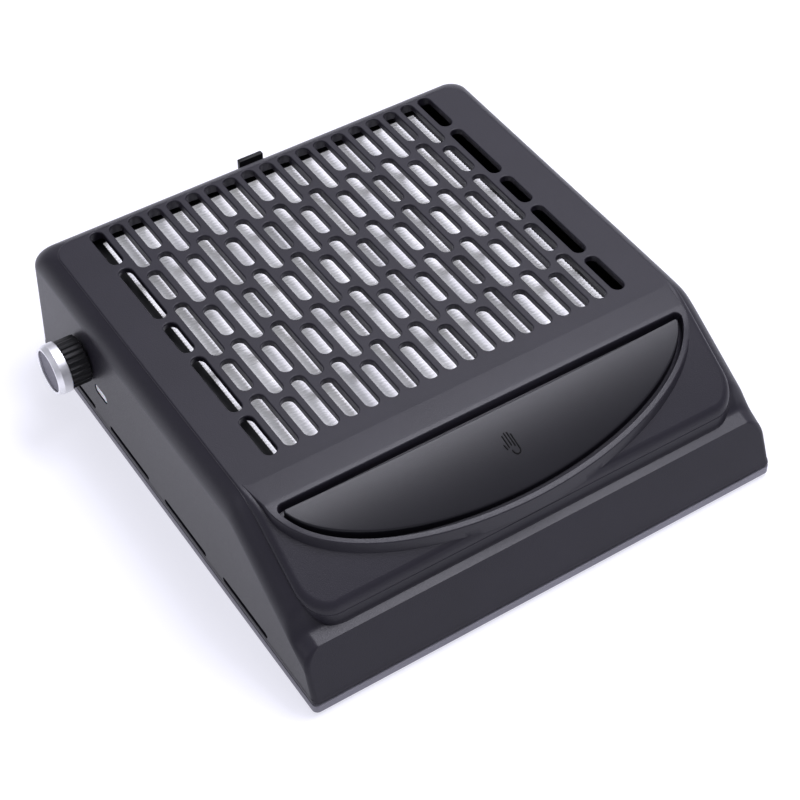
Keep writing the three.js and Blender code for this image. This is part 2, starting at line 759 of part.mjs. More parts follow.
// ---------------------------------------------------------------- controls on the left wall
const boardX = knobWallX + 15;

function controlBoard() {
  return box(boardX, boardX + 1.6, 48, 98, housingBottom + 4, 58);
}

function potentiometer() {
  const body = barAlongX(8.4, knobWallX + 4.6, boardX - fitGap, knobY, knobZ, 24);
  const bush = barAlongX(3.6, knobWallX - 4.4, knobWallX + 5, knobY, knobZ, 20);
  const legs = [-5, 0, 5].map((offset) => {
    const y = knobY + offset;
    return box(boardX - 2.4, boardX - fitGap, y - 0.6, y + 0.6, knobZ - 12, knobZ - 7);
  });
  const bore = barAlongX(2.9, knobWallX - 6, knobWallX + 9, knobY, knobZ, 16);
  return join([body, bush, ...legs]).subtract(bore);
}

function potentiometerNut() {
  const nut = barAlongX(6.2, knobWallX - 2.8, knobWallX - 0.9, knobY, knobZ, 6);
  return nut.subtract(barAlongX(4, -200, 0, knobY, knobZ, 20));
}

function signalLed() {
  const dome = barAlongX(1.6, boardX - 5, boardX - fitGap, windowY, windowZ, 12);
  return dome.add(barAlongX(2, boardX - 1.4, boardX - fitGap, windowY, windowZ, 12));
}

function lightPipe() {
  const wallX = -(overallWidth / 2 - (windowZ - baseBottom) * wallDraft);
  const lens = signalWindow(wallX + 0.5, wallX + 3.6, 0.35);
  const flange = box(wallX + 3.3, wallX + 4.6, windowY - 9, windowY + 5, windowZ - 3.4, windowZ + 2);
  const stem = box(wallX + 4, boardX - 5.4, windowY - 3, windowY + 3, windowZ - 2.4, windowZ + 1.6);
  return join([lens, flange, stem]);
}

// the knob's pieces are drawn about their own axis, with z = 0 on the wall
function knobSkirt() {
  const fluteCount = 30;
  const shape = new THREE.Shape();
  const outline = [];
  for (let i = 0; i < fluteCount; i += 1) {
    const step = (2 * Math.PI) / fluteCount;
    for (const [part, radius] of [[0, 12.7], [0.45, 12.7], [0.55, 12.1], [0.9, 12.1]]) {
      const angle = (i + part) * step;
      outline.push(new THREE.Vector2(radius * Math.cos(angle), radius * Math.sin(angle)));
    }
  }
  shape.setFromPoints(outline);
  const sleeve = extrude(shape, 0.9, 11.4);
  const hollow = bar(10.4, 0, 7.4, 0, 0, 24);
  const socket = bar(3.1, 0, 10.2, 0, 0, 16);
  return sleeve.subtract(hollow).subtract(socket);
}

function knobRing() {
  return lathe([
    [11.1, 11.7], [knobRadius, 11.7], [knobRadius, 16.4], [knobRadius - 0.5, 17.6],
    [11.9, 19.2], [11.1, 19.2], [11.1, 11.7],
  ], 36);
}

function knobCap() {
  const cap = lathe([[0, 11.75], [10.8, 11.75], [10.8, 18], [10.4, 18.4], [0, 18.4]], 28);
  return cap.subtract(bar(0.9, 17.9, 20, 0, 8.6, 12));
}

function knobShaft() {
  return bar(2.6, -8, 9.8, 0, 0, 16);
}

// ---------------------------------------------------------------- power inlet and wiring
function dcJack() {
  const wall = overallDepth / 2 - (jackZ - baseBottom) * wallDraft;
  const barrel = barAlongY(5.4, wall - 14, wall + 0.4, jackX, jackZ, 20);
  const body = box(jackX - 6.5, jackX + 6.5, wall - 15, wall - 3.2, jackZ - 6, jackZ + 6);
  const bore = barAlongY(3.2, wall - 10, wall + 5, jackX, jackZ, 16);
  return barrel.add(body).subtract(bore);
}

function jackPin() {
  const wall = overallDepth / 2 - (jackZ - baseBottom) * wallDraft;
  return barAlongY(1, wall - 9.6, wall - 0.6, jackX, jackZ, 10);
}

function powerLead() {
  return tube([
    [jackX, 119.6, jackZ - 2],
    [jackX - 2, 112, 15],
    [jackX - 8, 98, 12],
    [boardX + 8, 84, 18],
    [boardX + 3.6, 82, 25],
  ], 1.5, 12);
}

function motorLead() {
  return tube([
    [boardX + 3.6, 66, 22],
    [boardX + 9, 64, 14],
    [-90, 58, 7.4],
    [-50, 48, 6.4],
    [-24, fanY + 2, 6.4],
    [-8, fanY, 8.4],
  ], 1.3, 18);
}

// ---------------------------------------------------------------- assembly
const assembly = new THREE.Group();

function add(parent, name, solid, colour, roughness, metalness = 0) {
  const material = new THREE.MeshStandardMaterial({ color: colour, roughness, metalness });
  const mesh = new THREE.Mesh(toGeometry(solid), material);
  mesh.name = name;
  parent.add(mesh);
  return mesh;
}

const black = 0x141416;
const darkShell = 0x3c3b42;
const trayGrey = 0x85848f;
const steel = 0xb4b5b8;

add(assembly, 'top_housing', topHousing(), darkShell, 0.5);
add(assembly, 'base_tray', baseTray(), trayGrey, 0.5);
add(assembly, 'hand_rest', handRestInsert(), 0x2b2a30, 0.45);
footPlaces.forEach(([x, y], i) => {
  add(assembly, `foot_${i + 1}`, foot(), black, 0.9).position.set(x, y, 0);
});
bossPlaces.forEach(([x, y], i) => {
  const fixing = add(assembly, `base_screw_${i + 1}`, screw(3.2, 2, 1.5, 18), steel, 0.35, 1);
  fixing.position.set(x, y, baseBottom + 0.4);
});

const cartridge = new THREE.Group();
assembly.add(cartridge);
add(cartridge, 'filter_frame', filterFrame(), black, 0.6);
add(cartridge, 'filter_media', filterMedia(), 0xd9d8de, 0.95);
add(cartridge, 'filter_latch', filterLatch(), black, 0.5);

add(assembly, 'filter_tray', filterTray(), 0x2a2a2d, 0.6);
add(assembly, 'filter_seal', filterSeal(), black, 0.95);
trayEars.forEach(([x, y], i) => {
  const fixing = add(assembly, `tray_screw_${i + 1}`, screw(3, 1.8, 1.5, 9), steel, 0.35, 1);
  fixing.position.set(x, y, trayFloor - 1.8 - fitGap);
});

const fan = new THREE.Group();
fan.position.set(fanX, fanY, 0);
assembly.add(fan);
add(fan, 'fan_guard', fanGuard(), 0x2a2a2d, 0.6);
add(fan, 'impeller', impeller(), 0x202024, 0.5);
add(fan, 'motor_shaft', motorShaft(), steel, 0.3, 1);
add(fan, 'motor_can', motorCan(), steel, 0.35, 1);
add(fan, 'motor_end_cap', motorEndCap(), 0x202024, 0.6);
add(assembly, 'motor_bracket', motorBracket(), steel, 0.45, 1);
motorScrewPlaces.forEach(([x, y], i) => {
  const fixing = add(assembly, `motor_screw_${i + 1}`, screw(2.8, 1.6, 1.1, 8), steel, 0.35, 1);
  fixing.position.set(x, y, 13.3);
  fixing.rotation.x = Math.PI;
});

add(assembly, 'control_board', controlBoard(), 0x1d5a38, 0.6);
add(assembly, 'potentiometer', potentiometer(), 0x9a9ba0, 0.4, 1);
add(assembly, 'potentiometer_nut', potentiometerNut(), steel, 0.35, 1);
add(assembly, 'signal_led', signalLed(), 0xe8f0ff, 0.2);
add(assembly, 'light_pipe', lightPipe(), 0xf0f0f2, 0.25);

const knob = new THREE.Group();
knob.position.set(knobWallX, knobY, knobZ);
knob.rotation.y = -Math.PI / 2;
assembly.add(knob);
add(knob, 'knob_skirt', knobSkirt(), black, 0.45);
add(knob, 'knob_ring', knobRing(), 0xe6e6ea, 0.22, 1);
add(knob, 'knob_cap', knobCap(), 0x8b8b92, 0.5);
add(knob, 'knob_shaft', knobShaft(), steel, 0.35, 1);

add(assembly, 'dc_jack', dcJack(), black, 0.5);
add(assembly, 'jack_pin', jackPin(), steel, 0.3, 1);
add(assembly, 'power_lead', powerLead(), black, 0.6);
add(assembly, 'motor_lead', motorLead(), 0x8e1f1f, 0.6);

// centre the box on the origin
assembly.updateMatrixWorld(true);
const bounds = new THREE.Box3().setFromObject(assembly, true);
assembly.position.set(-(bounds.min.x + bounds.max.x) / 2, -(bounds.min.y + bounds.max.y) / 2, 0);
assembly.updateMatrixWorld(true);

export default assembly;
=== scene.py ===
"""Looks of the nail dust collector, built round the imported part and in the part's own frame."""

import json
import math

import bmesh
import bpy
from mathutils import Matrix, Vector, noise


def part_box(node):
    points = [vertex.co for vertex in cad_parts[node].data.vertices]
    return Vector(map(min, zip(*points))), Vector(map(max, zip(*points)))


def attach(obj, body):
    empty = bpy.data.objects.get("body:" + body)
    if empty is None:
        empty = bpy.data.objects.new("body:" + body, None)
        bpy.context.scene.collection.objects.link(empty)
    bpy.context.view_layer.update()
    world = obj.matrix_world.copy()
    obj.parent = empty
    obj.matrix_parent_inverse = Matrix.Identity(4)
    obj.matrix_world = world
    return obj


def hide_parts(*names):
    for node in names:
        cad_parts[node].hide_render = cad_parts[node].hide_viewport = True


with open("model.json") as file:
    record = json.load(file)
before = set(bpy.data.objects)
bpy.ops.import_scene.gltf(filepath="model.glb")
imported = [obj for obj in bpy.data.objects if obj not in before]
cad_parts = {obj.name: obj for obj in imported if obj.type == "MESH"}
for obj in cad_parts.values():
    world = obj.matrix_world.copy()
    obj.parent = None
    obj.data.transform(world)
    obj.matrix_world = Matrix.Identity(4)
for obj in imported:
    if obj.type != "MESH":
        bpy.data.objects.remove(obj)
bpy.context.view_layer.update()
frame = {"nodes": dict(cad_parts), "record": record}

# ------------------------------------------------------------------ driving dimensions
# Lengths in this script are millimetres, with x and y counted from the middle of the housing,
# where the CAD source draws it. MIDDLE is that point in the part's frame.
MM = 0.001
BASE_LOW, BASE_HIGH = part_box("base_tray")
MIDDLE = Vector(((BASE_LOW.x + BASE_HIGH.x) / 2, (BASE_LOW.y + BASE_HIGH.y) / 2, 0))

SLOT_PITCH = 11.0
WIDTH = round((BASE_HIGH.x - BASE_LOW.x) / MM, 1)
DEPTH = round((BASE_HIGH.y - BASE_LOW.y) / MM, 1)
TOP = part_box("top_housing")[1].z / MM
BASE_BOTTOM = BASE_LOW.z / MM
HOUSING_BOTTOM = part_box("top_housing")[0].z / MM
WALL = 2.5
DRAFT = math.tan(math.radians(1.5))

# grille
SLOT_COLUMNS = 19
SLOT_WIDTH = 0.655 * SLOT_PITCH
LONG_SLOT = 3.77 * SLOT_PITCH
SHORT_SLOT = 2.1 * SLOT_PITCH
SLOT_GAP = 0.404 * SLOT_PITCH
FIELD_DEPTH = 16.235 * SLOT_PITCH
FIELD_BACK = DEPTH / 2 - 14
FIELD_FRONT = FIELD_BACK - FIELD_DEPTH
GRILLE_THICKNESS = 3.3
SLOT_FILLET = 0.7

# front slope and hand rest
SLOPE = math.radians(31)
FOLD_RADIUS = 42.0
SLOPE_START = -70.7
PLATFORM_SHIFT = 8.5
PLATFORM = {
    "half_width": 117.6, "depth": 46.2, "centre_y": -76.2, "back_y": -60.0, "corner": 2.0, "flare": 2.6,
}
RECESS = {"half_width": 114.4, "depth": 42.7, "centre_y": -77.0, "back_y": -79.0, "corner": 3.0}
RIM_TILT = 0.3
REST_GAP = 2.0
REST_FRONT_GAP = 1.9 * REST_GAP
REST_BACK_GAP = 1.2 * REST_GAP
REST_SINK = 0.7
RECESS_DEPTH = 6.0

# side fittings
KNOB_LOW, KNOB_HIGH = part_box("knob_ring")
KNOB_CENTRE = (KNOB_LOW + KNOB_HIGH) / 2
KNOB_Y = (KNOB_CENTRE.y - MIDDLE.y) / MM
KNOB_Z = KNOB_CENTRE.z / MM
KNOB_WALL = -(WIDTH / 2 - (KNOB_Z - BASE_BOTTOM) * DRAFT)
BUSH_HOLE = 8.0
WINDOW_Y = FIELD_BACK - 5.5 * SLOT_PITCH
WINDOW_Z = TOP - 4.2 * SLOT_PITCH
WINDOW_LENGTH = 13.5
WINDOW_HEIGHT = 5.6
VENT_LENGTH = 3.75 * SLOT_PITCH
VENT_SPACING = 5.22 * SLOT_PITCH
VENT_FRONT = FIELD_BACK - 20.31 * SLOT_PITCH
VENT_COUNT = 4
VENT_HEIGHT = 3.2
VENT_Z = TOP - 5.82 * SLOT_PITCH
JACK_X = -100.0
JACK_Z = 21.0
JACK_HOLE_RADIUS = 5.8


def lerp(a, b, share):
    return a + (b - a) * share


def clamp(value, low, high):
    return max(low, min(high, value))


def fade(y, start, length):
    """0 behind start, then rising to 1 over this length towards the front."""
    return clamp((start - y) / length, 0, 1)


def quarter_round(radius, degrees):
    """How far inwards and how far down a round edge lies at an angle; 90 degrees is its top."""
    angle = math.radians(degrees)
    return radius * (1 - math.cos(angle)), radius * (1 - math.sin(angle))


# ------------------------------------------------------------------ meshes
def new_object(name, data):
    """An object in the scene for a mesh, curve, light or camera."""
    made = bpy.data.objects.new(name, data)
    bpy.context.scene.collection.objects.link(made)
    return made


def new_mesh(name, points, faces):
    """A mesh object from millimetre points."""
    mesh = bpy.data.meshes.new(name)
    mesh.from_pydata([Vector(p) * MM + MIDDLE for p in points], [], faces)
    mesh.update()
    return new_object(name, mesh)


def settle(target):
    """Applies the modifiers of an object to its mesh."""
    depsgraph = bpy.context.evaluated_depsgraph_get()
    mesh = bpy.data.meshes.new_from_object(target.evaluated_get(depsgraph))
    target.modifiers.clear()
    target.data = mesh


def carve(target, tool, operation="DIFFERENCE"):
    """Joins or cuts one closed mesh with another, which is used up."""
    modifier = target.modifiers.new("carve", "BOOLEAN")
    modifier.operation = operation
    modifier.solver = "MANIFOLD"
    modifier.object = tool
    settle(target)
    bpy.data.objects.remove(tool)


def soften(target, width, angle):
    """Rounds the edges sharper than angle, with width in millimetres."""
    modifier = target.modifiers.new("round", "BEVEL")
    modifier.limit_method = "ANGLE"
    modifier.angle_limit = math.radians(angle)
    modifier.width = width * MM
    modifier.segments = 3
    modifier.miter_outer = "MITER_ARC"
    modifier.use_clamp_overlap = True


def shade(target, angle=32):
    """Smooth shading with the edges over angle kept sharp."""
    mesh = target.data
    bm = bmesh.new()
    bm.from_mesh(mesh)
    for face in bm.faces:
        face.smooth = True
    for edge in bm.edges:
        edge.smooth = len(edge.link_faces) == 2 and edge.calc_face_angle(0) < math.radians(angle)
    bm.to_mesh(mesh)
    bm.free()
    modifier = target.modifiers.new("even", "WEIGHTED_NORMAL")
    modifier.keep_sharp = True


def finish_piece(target, body, material, replaces):
    """Gives a piece its material and its body, and hides the CAD nodes that it stands for."""
    target.data.materials.clear()
    target.data.materials.append(material)
    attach(target, body)
    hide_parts(*replaces)


def loft(name, layers):
    """The closed skin through layers of points, lowest first. Each layer lists its right side from
    the back to the front and then its left side the same way, so that rungs across close the ends."""
    count = len(layers[0])
    half = count // 2
    order = list(range(half)) + list(range(count - 1, half - 1, -1))
    faces = []
    for level in range(len(layers) - 1):
        low, high = level * count, (level + 1) * count
        for i in range(count):
            a, b = order[i], order[(i + 1) % count]
            faces.append((low + b, low + a, high + a, high + b))
    last = (len(layers) - 1) * count
    for i in range(half - 1):
        faces.append((i, i + 1, i + 1 + half, i + half))
        faces.append((last + i + 1, last + i, last + i + half, last + i + 1 + half))
    return new_mesh(name, [p for layer in layers for p in layer], faces)


def stack(name, rings):
    """The closed skin through rings of points with flat ends."""
    count = len(rings[0])
    faces = [tuple(range(count - 1, -1, -1))]
    for level in range(len(rings) - 1):
        low, high = level * count, (level + 1) * count
        for i in range(count):
            j = (i + 1) % count
            faces.append((low + i, low + j, high + j, high + i))
    last = (len(rings) - 1) * count
    faces.append(tuple(range(last, last + count)))
    return new_mesh(name, [p for r in rings for p in r], faces)


def block(name, x0, x1, y0, y1, z0, z1):
    """A box between these limits."""
    corners = [(x0, y0), (x1, y0), (x1, y1), (x0, y1)]
    return stack(name, [[(x, y, z) for x, y in corners] for z in (z0, z1)])


def slot_outline(y0, y1, width, grow=0.0, steps=8):
    """An upright slot about x = 0 as (x, y), with round ends, grown outwards."""
    radius = width / 2
    points = []
    for centre, start in ((y1 - radius, 0.0), (y0 + radius, math.pi)):
        for i in range(steps + 1):
            angle = start + math.pi * i / steps
            reach = radius + grow
            points.append((reach * math.cos(angle), centre + reach * math.sin(angle)))
    return points


def arc(centre, radius, start, end, steps):
    """Points along an arc about centre, from start to end in degrees."""
    angles = [math.radians(lerp(start, end, i / steps)) for i in range(steps + 1)]
    return [(centre[0] + radius * math.cos(a), centre[1] + radius * math.sin(a)) for a in angles]


def join(name, parts):
    """One object from several, which are used up."""
    bm = bmesh.new()
    for part in parts:
        bm.from_mesh(part.data)
        bpy.data.objects.remove(part)
    mesh = bpy.data.meshes.new(name)
    bm.to_mesh(mesh)
    bm.free()
    return new_object(name, mesh)


def face_outwards(target):
    """Turns all faces of a closed mesh outwards."""
    bm = bmesh.new()
    bm.from_mesh(target.data)
    bmesh.ops.recalc_face_normals(bm, faces=bm.faces)
    bm.to_mesh(target.data)
    bm.free()


# ------------------------------------------------------------------ housing surfaces
def top_face(y):
    """Height of the top: flat, then a round fold, then the slope."""
    reach = FOLD_RADIUS * math.tan(SLOPE / 2)
    fold_back = SLOPE_START + reach
    fold_front = SLOPE_START - reach * math.cos(SLOPE)
    if y >= fold_back:
        return TOP
    if y <= fold_front:
        return TOP - (SLOPE_START - y) * math.tan(SLOPE)
    return TOP - FOLD_RADIUS + math.sqrt(FOLD_RADIUS**2 - (fold_back - y) ** 2)


def platform_face(y):
    """Height of the border round the hand rest: the top's own curve, moved to the front."""
    return top_face(y + PLATFORM_SHIFT)


# The body carries the plateau. Its slope starts further back, so that the plateau stands out of it
# more and more towards the front, and it ends in a flat ledge above the front face.
LINE_X = 122.4
LINE_BACK = 127.1
LINE_CORNER = 10.5
LINE_FRONT_CORNER = 0.8
WALL_CORNER = 8.5
FRONT_CORNER = 2.6
BODY_SINK = 0.5
BODY_SLOPE = 0.6225
BODY_SLOPE_START = -67.0
BODY_FOLD = 14.0
LEDGE_Y = -128.4
LEDGE_Z = 33.5
LEDGE_BACK = -112.5
LEDGE_FALL = 9.0
LEDGE_TILT = math.tan(math.radians(14))
FRONT_LEAN = 0.42
FRONT_FOOT = 7.6
FRONT_INSET = 0.5


def line_face(y):
    """Height of the fine line at the plateau's foot: just under the top, then a slope of its own."""
    past = BODY_SLOPE_START - y
    drop = BODY_SLOPE * (past + math.sqrt(past**2 + BODY_FOLD)) / 2
    return TOP - BODY_SINK - drop


def ledge_face(y):
    """Height of the flat ledge, which falls gently to the front."""
    return LEDGE_Z + (y - LEDGE_Y) * LEDGE_TILT


def body_face(y):
    """Height at which the shoulder starts: along the fine line, then down to the ledge in front."""
    share = fade(y, LEDGE_BACK, LEDGE_FALL)
    return lerp(line_face(y), ledge_face(y), share * share * (3 - 2 * share))


def front_plane(z):
    """Where the leaning front face is at this height."""
    return -DEPTH / 2 + FRONT_INSET + FRONT_LEAN * (z - FRONT_FOOT)


# The y of the points along a side: few where the top is flat, close together from the fold on.
FOLD_STATIONS = [60, 0, -30, -50] + [-57 - 1.5 * i for i in range(47)]
CORNER_STEPS = 14
SHOULDER_START = math.radians(25)
SHOULDER_DROP = 12.7


def ring(half_width, back, front, back_corner, front_corner, height, draft=DRAFT):
    """A rounded rectangle in plan, drafted inwards as it rises. height(y, frontness) gives its z,
    where frontness goes from 0 on the side to 1 on the front."""
    right = []
    for i in range(CORNER_STEPS + 1):
        angle = math.pi / 2 * (1 - i / CORNER_STEPS)
        x = half_width - back_corner + back_corner * math.cos(angle)
        y = back - back_corner + back_corner * math.sin(angle)
        right.append((x, y, 0))
    last = front + front_corner
    right += [(half_width, y, 0) for y in FOLD_STATIONS if y > last]
    spare = len(FOLD_STATIONS) + CORNER_STEPS + 1 - len(right)
    right += [(half_width, lerp(right[-1][1], last, (i + 1) / (spare + 1)), 0) for i in range(spare)]
    for i in range(CORNER_STEPS + 1):
        angle = math.pi / 2 * i / CORNER_STEPS
        x = half_width - front_corner + front_corner * math.cos(angle)
        y = front + front_corner - front_corner * math.sin(angle)
        right.append((x, y, math.sin(angle) ** 2))
    drafted = []
    for x, y, frontness in right:
        z = height(y, frontness)
        inset = (z - BASE_BOTTOM) * draft
        drafted.append((x - inset, y - inset * y / back if y > 0 else y, z))
    return drafted + [(-x, y, z) for x, y, z in drafted]


def shoulder_ring(angle):
    """A ring of the body's rounded shoulder, which starts at the plateau's line and ends at the wall."""
    outward = (math.sin(angle) - math.sin(SHOULDER_START)) / (1 - math.sin(SHOULDER_START))
    share = (math.cos(SHOULDER_START) - math.cos(angle)) / math.cos(SHOULDER_START)

    def height(y, frontness=0):
        return lerp(body_face(y), line_face(y) - SHOULDER_DROP, share)

    front = LEDGE_Y
    settling_rounds = 6
    for _ in range(settling_rounds):
        front = front_plane(height(front))
    back_corner = lerp(LINE_CORNER, WALL_CORNER, outward)
    front_corner = lerp(LINE_FRONT_CORNER, FRONT_CORNER, outward)
    half_width = lerp(LINE_X, WIDTH / 2, outward)
    back = lerp(LINE_BACK, DEPTH / 2, outward)
    return ring(half_width, back, front, back_corner, front_corner, height, DRAFT * outward)


def housing_body():
    """The closed body under the plateau: walls, rounded shoulders and the ledge above the front."""
    lip = 0.15
    lip_round = 0.4
    lip_top = HOUSING_BOTTOM + 1.9
    lip_fade = 0.25
    steps = 12

    def wall_ring(z, grow):
        return ring(
            WIDTH / 2 + grow, DEPTH / 2 + grow, front_plane(z) - grow, WALL_CORNER, FRONT_CORNER,
            lambda y, frontness: z,
        )

    layers = [wall_ring(HOUSING_BOTTOM, lip - lip_round), wall_ring(HOUSING_BOTTOM + lip_round, lip)]
    layers += [wall_ring(lip_top, lip), wall_ring(lip_top + lip_fade, 0)]
    for i in range(steps + 1):
        layers.append(shoulder_ring(lerp(math.pi / 2, SHOULDER_START, i / steps)))
    return loft("housing_shell", layers)


def plateau():
    """The raised top: flat over the filter, then the slope. Its side is round, with a fine step at
    the foot line, and in front a steep band leads from that line down to the ledge."""
    line_front = -122.7
    line_gap = 0.12
    least_height = 0.3
    step_width = 0.28
    front_corner = 15.0
    side_round = 0.9
    slope_side_round = 3.2
    slope_side_start, slope_side_length = -62, 16
    front_round = 3.4
    corner_round = 3.0
    steps = 6

    def foot(y):
        return min(line_face(y) + line_gap, top_face(y) - least_height)

    def layer(share, grow, edge):
        """A ring at this share of the height; edge goes from 0 at the line to 1 on the top."""
        inset = edge * side_round
        made = ring(
            LINE_X + grow - inset, LINE_BACK + grow - inset, line_front - grow + edge * front_round,
            LINE_CORNER + grow - inset, front_corner + grow - edge * corner_round,
            lambda y, frontness: lerp(foot(y), top_face(y), share), 0,
        )
        drawn_in = []
        for x, y, z in made:
            narrowing = slope_side_round * edge * fade(y, slope_side_start, slope_side_length)
            drawn_in.append((x - math.copysign(narrowing, x), y, z))
        return drawn_in

    band_front = -124.3
    band_sink = 1.5

    def band(front, corner, drop):
        """A ring of the steep band, which meets the ledge only in front."""
        return ring(
            LINE_X, LINE_BACK, front, LINE_CORNER, corner,
            lambda y, frontness: lerp(line_face(y) - band_sink, ledge_face(y) - drop, frontness), 0,
        )

    layers = []
    for further_in, corner, drop in ((-0.4, 18, 1.5), (0, 17, 0), (0.6, 16, -0.9)):
        layers.append(band(band_front + further_in, corner, drop))
    layers.append(layer(-0.02, step_width, 0))
    for i in range(steps + 1):
        angle = math.pi / 2 * i / steps
        layers.append(layer(math.sin(angle), 0, 1 - math.cos(angle)))
    return loft("plateau", layers)


def cavity():
    """The space inside the walls, thin over the grille and thicker under the hand rest."""
    rest_start, rest_length = -58, 16
    ledge_start, ledge_length = -108, 10
    rest_floor = RECESS_DEPTH + 0.6
    shoulder_depth = 10
    shoulder_height = 21
    back_corner, front_corner = 7, 3
    front_cover = 2

    def ceiling(y):
        under_top = top_face(y) - lerp(GRILLE_THICKNESS, rest_floor, fade(y, rest_start, rest_length))
        return lerp(under_top, ledge_face(y) - WALL, fade(y, ledge_start, ledge_length))

    def inner(half_width, back, front, height):
        return ring(half_width - WALL, back - WALL, front + WALL, back_corner, front_corner, height)

    return loft("cavity", [
        inner(WIDTH / 2, DEPTH / 2, front_plane(0), lambda y, frontness: 0),
        inner(
            WIDTH / 2, DEPTH / 2, front_plane(shoulder_height),
            lambda y, frontness: ceiling(y) - shoulder_depth,
        ),
        inner(LINE_X, LINE_BACK, LEDGE_Y + front_cover, lambda y, frontness: ceiling(y)),
    ])


# ------------------------------------------------------------------ hand rest
def lens_layer(shape, grow, surface, back_steps=0):
    """A layer of a lens shape: a straight back edge, round corners and the front of an ellipse.
    With back_steps the straight edge gets points of its own too."""
    corner_steps, arc_steps = 6, 48
    least_corner = 0.3
    width = shape["half_width"] + grow
    reach = shape["depth"] + grow
    corner = max(shape["corner"] + grow, least_corner)
    back = shape["back_y"] + grow
    start = math.asin(clamp((shape["centre_y"] - back + corner) / reach, 0, 1))
    side = width * math.cos(start)
    bend = side - corner + shape.get("flare", 0)
    right = [(bend * (i + 0.5) / (back_steps + 0.5), back) for i in range(back_steps)]
    for i in range(corner_steps):
        angle = math.pi / 2 * (1 - i / corner_steps)
        right.append((bend + corner * math.cos(angle), back - corner + corner * math.sin(angle)))
    for i in range(arc_steps + 1):
        angle = start + (math.pi / 2 - start) * i / (arc_steps + 0.5)
        right.append((width * math.cos(angle), shape["centre_y"] - reach * math.sin(angle)))
    placed = [(x, y, surface(x, y)) for x, y in right]
    return placed + [(-x, y, surface(-x, y)) for x, y in right]


def rest_platform():
    """The raised border round the hand rest, a little flatter than the slope, with a steep edge."""
    round_over = 0.5
    foot_spread, foot_depth = 1.1, 8
    bend_spread, bend_depth = 0.6, 3.4
    crest = 0.3
    width = PLATFORM["half_width"] - RECESS["half_width"]
    inner = lens_layer(PLATFORM, -width, lambda x, y: platform_face(y))

    def rim(grow, sink):
        outline = lens_layer(PLATFORM, grow, lambda x, y: 0)
        return [
            (x, y, z + RIM_TILT * min(y - inner_y, 0) - sink)
            for (x, y, _), (_, inner_y, z) in zip(outline, inner)
        ]

    layers = [rim(foot_spread, foot_depth), rim(bend_spread, bend_depth), rim(crest, round_over)]
    for degrees in (30, 60, 90):
        inward, down = quarter_round(round_over, degrees)
        layers.append(rim(crest - inward, down))
    layers.append(inner)
    return loft("platform", layers)


def rest_recess():
    """Cutter for the pocket of the hand rest, flared at the top so that its edge comes out round."""
    fillet = 0.45
    overlap, reach_up = 0.01, 5
    layers = [lens_layer(RECESS, 0, lambda x, y: platform_face(y) - RECESS_DEPTH)]
    for degrees in (0, 25, 50, 75, 90):
        outward, down = quarter_round(fillet, degrees)
        sink = down - overlap
        layers.append(lens_layer(RECESS, outward, lambda x, y, sink=sink: platform_face(y) - sink))
    layers.append(lens_layer(RECESS, fillet, lambda x, y: platform_face(y) + reach_up))
    return loft("recess", layers)


PAD = {
    "half_width": RECESS["half_width"] - REST_GAP, "depth": RECESS["depth"] - REST_FRONT_GAP,
    "centre_y": RECESS["centre_y"], "back_y": RECESS["back_y"] - REST_BACK_GAP, "corner": 1.4,
}
PAD_DISH = 2.0
PAD_CROWN = 1.8


def pad_face(x, y):
    """Height of the hand rest: sunk below the border, hollow along x and crowned along y."""
    back, front = PAD["back_y"], PAD["centre_y"] - PAD["depth"]
    along = (back - y) / (back - front)
    chord = lerp(platform_face(back), platform_face(front), along)
    crown = 4 * PAD_CROWN * (along - along**2)
    hollow = PAD_DISH * clamp(1 - (x / PAD["half_width"]) ** 2, 0, 1)
    return chord + crown - hollow - REST_SINK


def hand_rest(material):
    """The insert: a rounded rim and a dished face made of layers that shrink towards its middle."""
    round_over = 0.8
    back_steps = 14
    floor_gap = 0.35
    floor = RECESS_DEPTH - floor_gap
    layers = [
        lens_layer(PAD, 0, lambda x, y: platform_face(y) - floor, back_steps),
        lens_layer(PAD, 0, lambda x, y: pad_face(x, y) - round_over, back_steps),
    ]
    for degrees in (22, 45, 68, 90):
        inward, down = quarter_round(round_over, degrees)
        layers.append(lens_layer(PAD, -inward, lambda x, y, sink=down: pad_face(x, y) - sink, back_steps))
    rim = [(x, y) for x, y, z in layers[-1]]
    heart = (PAD["back_y"] + PAD["centre_y"] - PAD["depth"]) / 2
    shrinking = 16
    for i in range(1, shrinking):
        share = 1 - i / shrinking
        flat = [(x * share, lerp(heart, y, share)) for x, y in rim]
        layers.append([(x, y, pad_face(x, y)) for x, y in flat])
    pad = loft("hand_rest_pad", layers)
    shade(pad)
    finish_piece(pad, "housing", material, ["hand_rest"])


